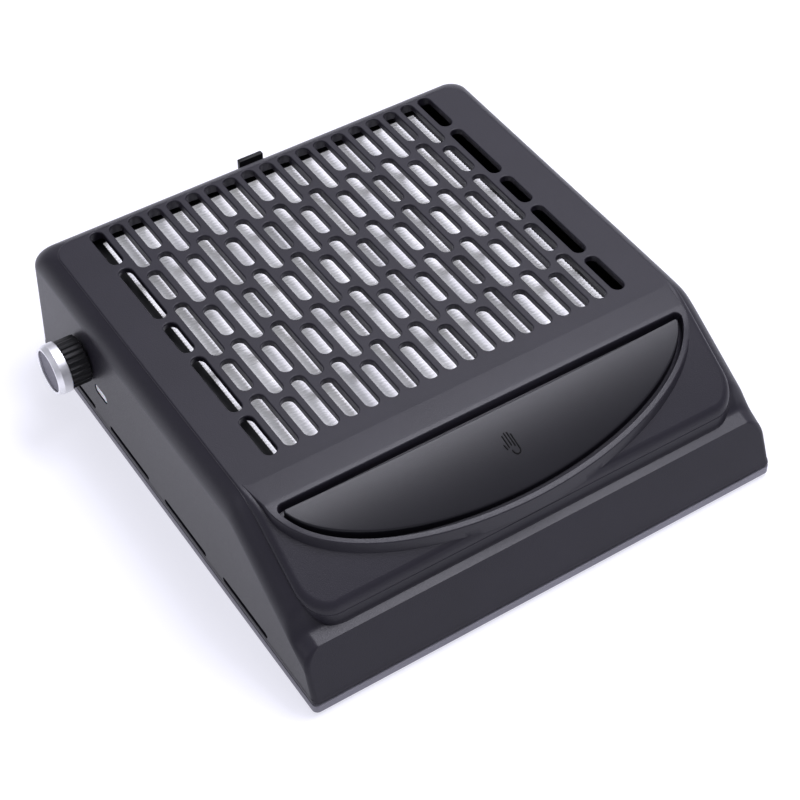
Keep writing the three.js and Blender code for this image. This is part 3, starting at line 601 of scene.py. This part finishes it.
def hand_sign(material):
    """A plain open hand in raised strokes: four fingers, a round palm that the last one runs into,
    and a short thumb. Strokes are (across, up) in millimetres and lean to the left."""
    centre_x, centre_y, lean, stretch = 2.0, -97.0, 0.12, 1.25
    palm_x, palm_y, palm_radius = 0.3, -3.5, 1.9
    stroke_radius = 0.38
    fingers = [(-2.2, 3.4, -2.0), (-0.6, 4.3, -1.5), (0.9, 4.0, -2.2)]
    strokes = [[(across, tip), (across, root)] for across, tip, root in fingers]
    palm = arc((palm_x, palm_y), palm_radius, 0, -190, 14)
    strokes.append([(palm_x + palm_radius, 2.8)] + palm)
    strokes.append([(-3.9, -0.1), (-3.5, -2.4)])
    curve = bpy.data.curves.new("hand_sign", "CURVE")
    curve.dimensions = "3D"
    curve.bevel_depth = stroke_radius * MM
    curve.bevel_resolution = 2
    curve.use_fill_caps = True
    for stroke in strokes:
        spline = curve.splines.new("POLY")
        spline.points.add(len(stroke) - 1)
        for point, (across, up) in zip(spline.points, stroke):
            x, y = centre_x + across - lean * up, centre_y + stretch * up * math.cos(SLOPE)
            point.co = (*(Vector((x, y, pad_face(x, y))) * MM + MIDDLE), 1)
    made = new_object("hand_sign", curve)
    curve.materials.append(material)
    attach(made, "housing")


# ------------------------------------------------------------------ housing
def column_x(index):
    """The x of a column of slots, counted from the left."""
    return (index - (SLOT_COLUMNS - 1) / 2) * SLOT_PITCH


def grille_slots():
    """Cutters for the slots, flared at the top so that the slots' edges come out round."""
    long_end = (FIELD_DEPTH - LONG_SLOT - 2 * SHORT_SLOT - 4 * SLOT_GAP) / 2
    short_end = (FIELD_DEPTH - 2 * LONG_SLOT - SHORT_SLOT - 4 * SLOT_GAP) / 2
    reach_down, reach_up, overlap = 9, 4, 0.01
    heights = [(TOP - reach_down, 0), (TOP - SLOT_FILLET, 0)]
    for degrees in (20, 40, 60, 78, 90):
        outward, down = quarter_round(SLOT_FILLET, degrees)
        heights.append((TOP + overlap - down, outward))
    heights.append((TOP + reach_up, SLOT_FILLET))
    cutters = []
    for column in range(SLOT_COLUMNS):
        even = [short_end, LONG_SLOT, SHORT_SLOT, LONG_SLOT, short_end]
        odd = [long_end, SHORT_SLOT, LONG_SLOT, SHORT_SLOT, long_end]
        x0 = column_x(column)
        y = FIELD_BACK
        for length in odd if column % 2 else even:
            rings = []
            for z, grow in heights:
                outline = slot_outline(y - length, y, SLOT_WIDTH, grow)
                rings.append([(x0 + x, yy, z) for x, yy in outline])
            cutters.append(stack("slot", rings))
            y -= length + SLOT_GAP
    return join("slots", cutters)


def along_x(name, outline, x0, x1, z):
    """An outline of (height, y) extruded along x."""
    rings = [[(x, y, z + h) for h, y in outline] for x in (x0, x1)]
    return stack(name, rings)


def left_opening(name, centre_y, length, height, z):
    """Cutter for an oblong or round hole through the left wall."""
    outside, inside_x = 5, -120
    outline = slot_outline(centre_y - length / 2, centre_y + length / 2, height)
    return along_x(name, outline, -WIDTH / 2 - outside, inside_x, z)


def side_vents():
    """Cutters for the long air slots low on both side walls."""
    outside, inside = 1, 9
    cutters = []
    for i in range(VENT_COUNT):
        front = VENT_FRONT + i * VENT_SPACING
        outline = slot_outline(front, front + VENT_LENGTH, VENT_HEIGHT, steps=6)
        cutters.append(along_x("vent", outline, -WIDTH / 2 - outside, -WIDTH / 2 + inside, VENT_Z))
        cutters.append(along_x("vent", outline, WIDTH / 2 - inside, WIDTH / 2 + outside, VENT_Z))
    return cutters


def inlet_hole():
    """Cutter for the round hole of the power inlet in the back wall."""
    steps = 32
    outside, inside = DEPTH / 2 + 5, 120
    circle = []
    for i in range(steps):
        angle = math.tau * i / steps
        circle.append((JACK_HOLE_RADIUS * math.cos(angle), JACK_HOLE_RADIUS * math.sin(angle)))
    rings = [[(JACK_X + u, y, JACK_Z + v) for u, v in circle] for y in (outside, inside)]
    return stack("inlet", rings)


def door_openings():
    """Cutters for the cartridge in the back wall, and for its thumb tab above that."""
    door_half, tab_half, gap = 100.4, 7.8, 0.4
    wall_inside, outside = 124, 151
    tab_overlap, tab_roof = 2, 4.4
    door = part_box("filter_frame")
    latch_front = (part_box("filter_latch")[0].y - MIDDLE.y) / MM
    door_low = door[0].z / MM - gap
    door_high = door[1].z / MM + gap
    return [
        block("door", -door_half, door_half, wall_inside, outside, door_low, door_high),
        block("tab", -tab_half, tab_half, latch_front, outside, door_high - tab_overlap, TOP - tab_roof),
    ]


def wall_openings():
    """Cutters for everything that goes through the walls."""
    window = left_opening("window", WINDOW_Y, WINDOW_LENGTH, WINDOW_HEIGHT, WINDOW_Z)
    bush = left_opening("bush", KNOB_Y, BUSH_HOLE, BUSH_HOLE, KNOB_Z)
    return side_vents() + [window, bush, inlet_hole()] + door_openings()


def under_ribs():
    """Ribs under the grille, front to back, between some of its columns."""
    half_width, columns_apart = 0.9, 3
    front, back = FIELD_FRONT - 4, FIELD_BACK + 2
    bottom, top = TOP - 7, TOP - 2
    parts = []
    for column in range(1, SLOT_COLUMNS - 1, columns_apart):
        x = column_x(column) + SLOT_PITCH / 2
        parts.append(block("rib", x - half_width, x + half_width, front, back, bottom, top))
    return join("ribs", parts)


def housing_shell(material):
    """The top housing in one piece, with every opening cut."""
    shell = housing_body()
    carve(shell, plateau(), "UNION")
    carve(shell, rest_platform(), "UNION")
    carve(shell, cavity())
    carve(shell, under_ribs(), "UNION")
    carve(shell, grille_slots())
    carve(shell, rest_recess())
    for cutter in wall_openings():
        face_outwards(cutter)
        carve(shell, cutter)
    shade(shell)
    finish_piece(shell, "housing", material, ["top_housing"])


# ------------------------------------------------------------------ filter
def filter_fleece(material):
    """The pleated fleece: fine soft pleats along x, a little uneven, with a flat underside."""
    low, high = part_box("filter_media")
    x0, x1 = (low.x - MIDDLE.x) / MM, (high.x - MIDDLE.x) / MM
    y0, y1 = (low.y - MIDDLE.y) / MM, (high.y - MIDDLE.y) / MM
    z0, z1 = low.z / MM, high.z / MM
    pleat_pitch = 0.2 * SLOT_PITCH
    pleats = round((y1 - y0) / pleat_pitch)
    per_pleat, columns = 6, 48
    rows = pleats * per_pleat
    dip, waviness, unevenness = 0.55, 0.12, 0.12
    points, faces = [], []
    for j in range(rows + 1):
        y = lerp(y0, y1, j / rows)
        for i in range(columns + 1):
            x = lerp(x0, x1, i / columns)
            wander = noise.noise(Vector((x * 0.03, y * 0.6, 4.0)))
            phase = math.tau * (j / per_pleat + waviness * wander)
            height = z1 - dip * (0.5 - 0.5 * math.cos(phase)) - unevenness * (1 + wander)
            points.append((x, y, height))
    for j in range(rows):
        for i in range(columns):
            a = j * (columns + 1) + i
            faces.append((a, a + 1, a + columns + 2, a + columns + 1))
    top_count = len(points)
    rim = list(range(columns + 1))
    rim += [j * (columns + 1) + columns for j in range(1, rows + 1)]
    rim += [rows * (columns + 1) + i for i in range(columns - 1, -1, -1)]
    rim += [j * (columns + 1) for j in range(rows - 1, 0, -1)]
    points += [(points[k][0], points[k][1], z0) for k in rim]
    for k in range(len(rim)):
        n = (k + 1) % len(rim)
        faces.append((rim[n], rim[k], top_count + k, top_count + n))
    faces.append(tuple(range(top_count + len(rim) - 1, top_count - 1, -1)))
    fleece = new_mesh("fleece_pleats", points, faces)
    shade(fleece, angle=60)
    finish_piece(fleece, "cartridge", material, ["filter_media"])


# ------------------------------------------------------------------ knob
def turned(name, profile, wobble=None, steps=120):
    """A closed profile of (radius, height) turned about the knob's axis, height counted off the wall."""
    points, faces = [], []
    count = len(profile)
    for i in range(steps):
        angle = math.tau * i / steps
        for radius, height in profile:
            r = radius if wobble is None else wobble(radius, angle)
            y = KNOB_Y + r * math.cos(angle)
            z = KNOB_Z + r * math.sin(angle)
            points.append((KNOB_WALL - height, y, z))
    for i in range(steps):
        n = (i + 1) % steps
        for k in range(count):
            m = (k + 1) % count
            faces.append((i * count + k, i * count + m, n * count + m, n * count + k))
    made = new_mesh(name, points, faces)
    bm = bmesh.new()
    bm.from_mesh(made.data)
    bmesh.ops.remove_doubles(bm, verts=bm.verts, dist=1e-6)
    bmesh.ops.recalc_face_normals(bm, faces=bm.faces)
    bm.to_mesh(made.data)
    bm.free()
    return made


def knob(ring_material, cap_material, skirt_material):
    """The knob's bright ring, its recessed grey face and the fluted black grip. Profiles are
    (radius, height off the wall)."""
    radius = (KNOB_HIGH.z - KNOB_LOW.z) / 2 / MM
    steps = 4
    bore = (11.15, 11.7)
    back_edge = arc((radius - 0.5, 12.2), 0.5, -90, 0, steps)
    bevel_start = arc((radius - 0.9, 16.3), 0.9, 0, 38, steps)
    bevel_end = arc((12.0, 18.75), 0.45, 38, 90, steps)
    inner_edge = arc((11.55, 18.8), 0.4, 90, 180, steps)
    bright = turned("knob_bright_ring", [bore] + back_edge + bevel_start + bevel_end + inner_edge)
    shade(bright, angle=40)
    finish_piece(bright, "knob", ring_material, ["knob_ring"])

    face_back = [(0, 11.75), (10.8, 11.75)]
    face_edge = arc((10.4, 17.9), 0.4, 0, 90, steps)
    face_dish = [(9.4, 18.3), (9.2, 18.15), (0, 18.15)]
    face = turned("knob_face", face_back + face_edge + face_dish)
    shade(face, angle=40)
    finish_piece(face, "knob", cap_material, ["knob_cap"])

    flutes, flute_depth, ridge_thinness = 26, 0.8, 7
    fluted_from = 12

    def fluted(r, angle):
        if r < fluted_from:
            return r
        ridge = (0.5 + 0.5 * math.cos(flutes * angle)) ** ridge_thinness
        return r - flute_depth * (1 - ridge)

    shaft_hole = [(3.1, 0.9), (3.1, 9.8), (10.4, 9.8), (10.4, 11.4)]
    outer_edges = arc((12.3, 11.0), 0.4, 90, 0, 3) + arc((12.3, 1.3), 0.4, 0, -90, 3)
    skirt = turned("knob_grip", shaft_hole + outer_edges, fluted, steps=300)
    shade(skirt, angle=50)
    finish_piece(skirt, "knob", skirt_material, ["knob_skirt"])


# ------------------------------------------------------------------ materials
def new_material(name):
    """A material with its nodes, its links and its main shader."""
    material = bpy.data.materials.new(name)
    material.use_nodes = True
    nodes = material.node_tree.nodes
    return material, nodes, material.node_tree.links, nodes["Principled BSDF"]


def noise_node(nodes, links, scale, detail=2.0, stretch=(1, 1, 1)):
    """Noise over the part's own coordinates; scale counts features per metre."""
    place = nodes.new("ShaderNodeTexCoord")
    mapping = nodes.new("ShaderNodeMapping")
    mapping.inputs["Scale"].default_value = stretch
    texture = nodes.new("ShaderNodeTexNoise")
    texture.inputs["Scale"].default_value = scale
    texture.inputs["Detail"].default_value = detail
    links.new(place.outputs["Object"], mapping.inputs["Vector"])
    links.new(mapping.outputs["Vector"], texture.inputs["Vector"])
    return texture


def spread(nodes, links, source, low, high):
    """A noise node's value as a number between low and high."""
    ranger = nodes.new("ShaderNodeMapRange")
    ranger.inputs["From Min"].default_value = 0.3
    ranger.inputs["From Max"].default_value = 0.7
    ranger.inputs["To Min"].default_value = low
    ranger.inputs["To Max"].default_value = high
    links.new(source, ranger.inputs["Value"])
    return ranger.outputs["Result"]


def tint(nodes, links, factor, dark, light):
    """A noise node's value as a colour between dark and light."""
    ramp = nodes.new("ShaderNodeValToRGB")
    ramp.color_ramp.elements[0].position = 0.3
    ramp.color_ramp.elements[0].color = (*dark, 1)
    ramp.color_ramp.elements[1].position = 0.7
    ramp.color_ramp.elements[1].color = (*light, 1)
    links.new(factor, ramp.inputs["Fac"])
    return ramp.outputs["Color"]


def bump(nodes, links, height, distance, strength=1.0):
    """A surface normal from heights, with distance in millimetres."""
    node = nodes.new("ShaderNodeBump")
    node.inputs["Distance"].default_value = distance * MM
    node.inputs["Strength"].default_value = strength
    links.new(height, node.inputs["Height"])
    return node.outputs["Normal"]


def grained_plastic(name, colour, roughness, grain=0.02, grain_scale=2600, variety=0.1):
    """Moulded plastic with a fine spark-eroded grain and slight shade changes."""
    material, nodes, links, shader = new_material(name)
    fine = noise_node(nodes, links, grain_scale, 2)
    broad = noise_node(nodes, links, 28, 3)
    dark = [c * (1 - variety) for c in colour]
    light = [c * (1 + variety) for c in colour]
    links.new(tint(nodes, links, broad.outputs["Fac"], dark, light), shader.inputs["Base Color"])
    rough = spread(nodes, links, fine.outputs["Fac"], roughness - 0.05, roughness + 0.05)
    links.new(rough, shader.inputs["Roughness"])
    links.new(bump(nodes, links, fine.outputs["Fac"], grain), shader.inputs["Normal"])
    shader.inputs["IOR"].default_value = 1.38
    return material


def brushed_metal(name, colour, roughness, stretch=(1, 1, 1)):
    """Metal with fine drawn or turned marks."""
    material, nodes, links, shader = new_material(name)
    marks = noise_node(nodes, links, 900, 3, stretch)
    cloud = noise_node(nodes, links, 60, 3)
    dark = [c * 0.86 for c in colour]
    links.new(tint(nodes, links, cloud.outputs["Fac"], dark, colour), shader.inputs["Base Color"])
    rough = spread(nodes, links, marks.outputs["Fac"], roughness - 0.07, roughness + 0.07)
    links.new(rough, shader.inputs["Roughness"])
    links.new(bump(nodes, links, marks.outputs["Fac"], 0.01), shader.inputs["Normal"])
    shader.inputs["Metallic"].default_value = 1.0
    return material


def fleece_material():
    """White filter fleece: fibres, fine creases along the pleats and faint grey clouds. It glows
    a little: painted light that brightens the fleece in the shade under the grille."""
    material, nodes, links, shader = new_material("fleece")
    fibres = noise_node(nodes, links, 1600, 4, (0.35, 1, 1))
    cloud = noise_node(nodes, links, 70, 4, (1, 0.5, 1))
    shader.inputs["Roughness"].default_value = 0.85
    colour = tint(nodes, links, cloud.outputs["Fac"], (0.78, 0.78, 0.81), (0.95, 0.95, 0.96))
    links.new(colour, shader.inputs["Base Color"])
    # The fleece colour also drives a weak emission: painted light, so the fleece reads brighter in the
    # slots' shade.
    links.new(colour, shader.inputs["Emission Color"])
    shader.inputs["Emission Strength"].default_value = 0.2
    links.new(bump(nodes, links, fibres.outputs["Fac"], 0.12, 0.8), shader.inputs["Normal"])
    shader.inputs["Sheen Weight"].default_value = 0.2
    return material


def board_material():
    """Green lacquered laminate with faint copper runs."""
    material, nodes, links, shader = new_material("board")
    runs = noise_node(nodes, links, 220, 1, (1, 4, 0.4))
    colour = tint(nodes, links, runs.outputs["Fac"], (0.015, 0.1, 0.04), (0.03, 0.2, 0.08))
    links.new(colour, shader.inputs["Base Color"])
    shader.inputs["Roughness"].default_value = 0.4
    links.new(bump(nodes, links, runs.outputs["Fac"], 0.04), shader.inputs["Normal"])
    return material


def frosted_material():
    """White translucent plastic of the light pipe."""
    material, nodes, links, shader = new_material("frosted")
    cloud = noise_node(nodes, links, 400, 3)
    colour = tint(nodes, links, cloud.outputs["Fac"], (0.74, 0.75, 0.78), (0.88, 0.89, 0.92))
    links.new(colour, shader.inputs["Base Color"])
    links.new(spread(nodes, links, cloud.outputs["Fac"], 0.25, 0.4), shader.inputs["Roughness"])
    shader.inputs["Subsurface Weight"].default_value = 0.2
    shader.inputs["Subsurface Scale"].default_value = 1.0 * MM
    return material


HOUSING = grained_plastic("housing_charcoal", (0.0150, 0.0135, 0.0200), 0.38, 0.06, 1900)
REST = grained_plastic("rest_charcoal", (0.0085, 0.0080, 0.0110), 0.36, grain=0.03, grain_scale=2200)
BASE = grained_plastic("base_grey", (0.20, 0.195, 0.225), 0.5)
INNER = grained_plastic("inner_black", (0.006, 0.006, 0.007), 0.5, grain=0.015)
SIGN = grained_plastic("sign_black", (0.001, 0.001, 0.001), 0.9, grain=0.01, variety=0.2)
RUBBER = grained_plastic("foot_rubber", (0.012, 0.012, 0.012), 0.8, grain=0.05, grain_scale=1800)
FOAM = grained_plastic("seal_foam", (0.010, 0.010, 0.011), 0.95, grain=0.3, grain_scale=1100)
SLEEVE = grained_plastic("lead_sleeve", (0.012, 0.012, 0.013), 0.45, grain=0.02)
STEEL = brushed_metal("zinc_steel", (0.56, 0.56, 0.58), 0.35)
CHROME = brushed_metal("satin_chrome", (0.93, 0.93, 0.95), 0.42, (0.15, 1, 1))
FACE = brushed_metal("turned_grey", (0.155, 0.15, 0.18), 0.5)
FLEECE = fleece_material()
BOARD = board_material()
FROSTED = frosted_material()

SLOT_MATERIALS = {
    "housing_plastic": HOUSING, "base_plastic": BASE, "rest_plastic": REST, "inner_plastic": INNER,
    "foot_rubber": RUBBER, "seal_foam": FOAM, "plain_steel": STEEL, "filter_fleece": FLEECE,
    "knob_chrome": CHROME, "knob_grey": FACE, "board_laminate": BOARD, "clear_plastic": FROSTED,
    "lead_sleeve": SLEEVE,
}


# ------------------------------------------------------------------ CAD nodes that stay
SOFT_EDGES = {"base_tray": 0.5, "filter_frame": 0.4, "filter_latch": 0.35, "dc_jack": 0.3}
SOFT_ANGLE = 35
SPLIT_ANGLE = 38
WELD_DISTANCE = 0.002


def dress_cad_nodes():
    """Materials, smooth shading and small round edges for the CAD nodes."""
    slots = {entry["node"]: entry["material_slot"] for entry in frame["record"]["subparts"]}
    for name, node in frame["nodes"].items():
        node.data.materials.clear()
        node.data.materials.append(SLOT_MATERIALS[slots[name]])
        weld = node.modifiers.new("weld", "WELD")
        weld.merge_threshold = WELD_DISTANCE * MM
        if name in SOFT_EDGES:
            soften(node, SOFT_EDGES[name], SOFT_ANGLE)
        for polygon in node.data.polygons:
            polygon.use_smooth = True
        split = node.modifiers.new("split", "EDGE_SPLIT")
        split.split_angle = math.radians(SPLIT_ANGLE)


# ------------------------------------------------------------------ stage
# Lengths from here on are metres in the part's frame.
CAMERA_AIM = Vector((-0.0053, -0.0287, 0.040))
CAMERA_AZIMUTH = -32.79
CAMERA_ELEVATION = 46.79
CAMERA_ROLL = -0.318
CAMERA_DISTANCE = 0.963
CAMERA_LENS = 88.48
LIGHT_COLOUR = (0.96, 0.955, 1.06)
FLOOR_SIZE = 6.0
FLOOR_COLOUR = (0.42, 0.42, 0.45, 1)
FLOOR_GLOW_COLOUR = (0.96, 0.96, 1.04, 1)
FLOOR_GLOW = 0.66
SKY_COLOUR = (0.93, 0.93, 1.04, 1)
SKY_STRENGTH = 0.42


def toward(azimuth, elevation):
    """The direction from the object towards a viewer at this azimuth and elevation."""
    a, e = math.radians(azimuth), math.radians(elevation)
    return Vector((math.sin(a) * math.cos(e), -math.cos(a) * math.cos(e), math.sin(e)))


def camera():
    """The camera that looks at the front, the left wall and the top."""
    data = bpy.data.cameras.new("camera")
    data.lens = CAMERA_LENS
    data.sensor_width = 36.0
    made = new_object("camera", data)
    back = toward(CAMERA_AZIMUTH, CAMERA_ELEVATION)
    turn = back.to_track_quat("Z", "Y").to_matrix().to_4x4()
    roll = Matrix.Rotation(math.radians(CAMERA_ROLL), 4, "Z")
    made.matrix_world = Matrix.Translation(CAMERA_AIM + back * CAMERA_DISTANCE) @ turn @ roll
    bpy.context.scene.camera = made


def panel(name, azimuth, elevation, distance, width, height, radiance):
    """A soft rectangular light that faces the object. Its power follows from the radiance wanted."""
    data = bpy.data.lights.new(name, "AREA")
    data.shape = "RECTANGLE"
    data.size = width
    data.size_y = height
    data.energy = radiance * math.pi * width * height
    data.color = LIGHT_COLOUR
    made = new_object(name, data)
    out = toward(azimuth, elevation)
    made.location = out * distance
    made.rotation_mode = "QUATERNION"
    made.rotation_quaternion = out.to_track_quat("Z", "Y")


def stage():
    """The pale floor, the even light all round and the four soft panels."""
    mesh = bpy.data.meshes.new("floor")
    corners = [
        (-FLOOR_SIZE, -FLOOR_SIZE, 0), (FLOOR_SIZE, -FLOOR_SIZE, 0),
        (FLOOR_SIZE, FLOOR_SIZE, 0), (-FLOOR_SIZE, FLOOR_SIZE, 0),
    ]
    mesh.from_pydata(corners, [], [(0, 1, 2, 3)])
    floor = new_object("floor", mesh)
    material, nodes, links, shader = new_material("floor_white")
    shader.inputs["Base Color"].default_value = FLOOR_COLOUR
    shader.inputs["Roughness"].default_value = 0.9
    shader.inputs["Emission Color"].default_value = FLOOR_GLOW_COLOUR
    shader.inputs["Emission Strength"].default_value = FLOOR_GLOW
    mesh.materials.append(material)

    world = bpy.data.worlds.new("studio")
    world.use_nodes = True
    world.node_tree.nodes["Background"].inputs["Color"].default_value = SKY_COLOUR
    world.node_tree.nodes["Background"].inputs["Strength"].default_value = SKY_STRENGTH
    bpy.context.scene.world = world
    panel("overhead", 113, 57, 2.0, 2.8, 1.7, 1.25)
    panel("strong", 101, 69, 1.7, 0.9, 0.5, 10.0)
    panel("front_top", 38, 76, 1.9, 0.8, 0.5, 4.5)
    panel("left", -98, 36, 2.4, 1.5, 0.8, 0.9)
    bpy.context.scene.view_settings.view_transform = "Standard"


# ------------------------------------------------------------------ the whole
dress_cad_nodes()
housing_shell(HOUSING)
hand_rest(REST)
hand_sign(SIGN)
filter_fleece(FLEECE)
knob(CHROME, FACE, INNER)
stage()
camera()
